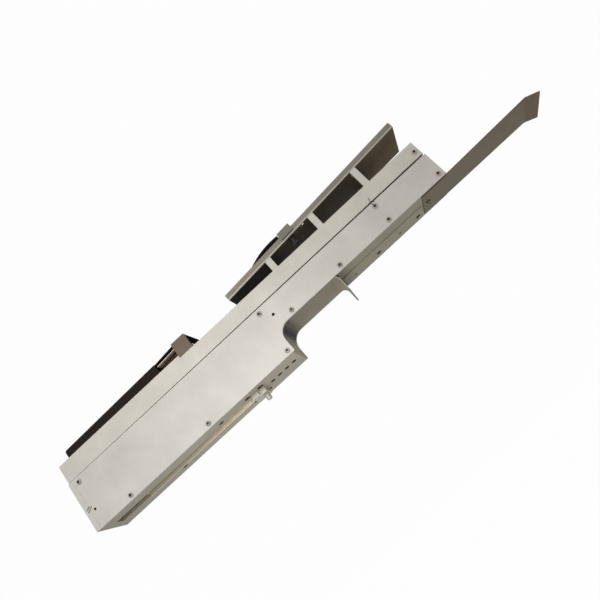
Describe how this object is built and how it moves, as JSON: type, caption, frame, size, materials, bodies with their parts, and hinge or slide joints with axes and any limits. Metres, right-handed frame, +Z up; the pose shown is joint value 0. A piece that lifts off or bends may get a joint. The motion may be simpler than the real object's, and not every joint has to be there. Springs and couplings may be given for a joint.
{
  "type": "smt stick feeder",
  "caption": "Long vibrating stick feeder: notched box housing with a hook and tail plate, spring-borne track with part lanes, bridge, sloping stick tray and clamp.",
  "frame": {"origin": "on the locating pin's axis, where the pin leaves its block under the base plate", "axes": "+X from the pick-up end to the loading end, +Y away from the side with the trimmer hole, +Z up"},
  "size_m": [0.6275, 0.0619, 0.1257],
  "materials": {
    "cover_aluminium": "brushed, clear anodised sheet",
    "base_aluminium": "milled and bead blasted",
    "track_aluminium": "satin anodised plate",
    "bright_steel": "ground or turned bright steel",
    "sheet_steel": "plain rolled sheet",
    "dark_sheet": "dark grey coated sheet",
    "clamp_grey": "grey coated block",
    "black_plastic": "black moulded plastic, fine grain",
    "black_steel": "blackened steel",
    "gold_rail": "pale gold, drawn bar",
    "bronze_strip": "rolled spring bronze",
    "core_iron": "stacked iron sheet",
    "coil_copper": "enamelled copper wire",
    "board_green": "lacquered circuit board",
    "part_blue": "moulded trimmer case",
    "part_white": "moulded trimmer rotor"
  },
  "bodies": {
    "housing": {"base_plate": "base_aluminium", "front_block": "cover_aluminium", "rear_block": "base_aluminium", "near_side_cover": "cover_aluminium", "far_side_plate": "cover_aluminium", "hook_plate": "base_aluminium", "neck_floor": "base_aluminium", "neck_strip": "base_aluminium", "neck_rails": "base_aluminium", "cross_spacers": "bright_steel", "tail_plate": "dark_sheet", "tail_screw": "bright_steel", "guide_rail": "gold_rail", "pin_block": "bright_steel", "locating_pin": "bright_steel", "base_screws": "black_steel", "near_cover_screws": "bright_steel", "far_cover_screws": "bright_steel", "spring_feet": "base_aluminium", "lower_clamp_plates": "bright_steel", "lower_spring_screws": "bright_steel", "leaf_spring_front": "bright_steel", "leaf_spring_rear": "bright_steel", "magnet_bracket": "sheet_steel", "magnet_core": "core_iron", "magnet_coil": "coil_copper", "magnet_screws": "bright_steel", "driver_board": "board_green", "board_components": "black_plastic", "board_standoffs": "bright_steel", "trimmer_body": "part_blue"},
    "track": {"near_track_plate": "track_aluminium", "far_track_plate": "track_aluminium", "track_deck": "track_aluminium", "track_end_blocks": "track_aluminium", "track_end_screws": "bright_steel", "lane_plate": "track_aluminium", "lane_block": "black_plastic", "lane_cover": "black_plastic", "lane_guides": "bright_steel", "lane_fingers": "bronze_strip", "bridge_gate": "black_plastic", "bridge_cheeks": "sheet_steel", "stick_tray": "sheet_steel", "tray_screws": "bright_steel", "spring_heads": "track_aluminium", "upper_clamp_plates": "bright_steel", "upper_spring_screws": "bright_steel", "deck_screws": "bright_steel", "armature": "core_iron", "armature_bracket": "track_aluminium", "armature_screws": "bright_steel"},
    "stick_clamp": {"clamp_block": "clamp_grey", "clamp_stud": "sheet_steel", "clamp_washer": "sheet_steel", "clamp_bar": "sheet_steel", "leaf_pin": "bright_steel"},
    "hold_down": {"hold_down_leaf": "black_steel"},
    "trimmer": {"trimmer_rotor": "part_white"}
  },
  "joints": [
    {"name": "track_vibration", "type": "slide", "parent": "housing", "child": "track", "axis": [0.9903, 0, -0.1392], "range_m": [-0.0005, 0.0005], "stiffness_N_per_m": 150000, "deforming": ["leaf_spring_front", "leaf_spring_rear"]},
    {"name": "clamp_slide", "type": "slide", "parent": "track", "child": "stick_clamp", "axis": [0.9976, 0, 0.0698], "range_m": [-0.018, 0.018]},
    {"name": "hold_down_hinge", "type": "hinge", "parent": "stick_clamp", "child": "hold_down", "pos_m": [0.12216, -0.0029, 0.10948], "axis": [0, 1, 0], "range_deg": [0, 14], "stiffness_Nm_per_rad": 0.03},
    {"name": "trimmer_turn", "type": "hinge", "parent": "housing", "child": "trimmer", "pos_m": [0.0627, -0.023, 0.0491], "axis": [0, -1, 0], "range_deg": [-135, 135]}
  ]
}
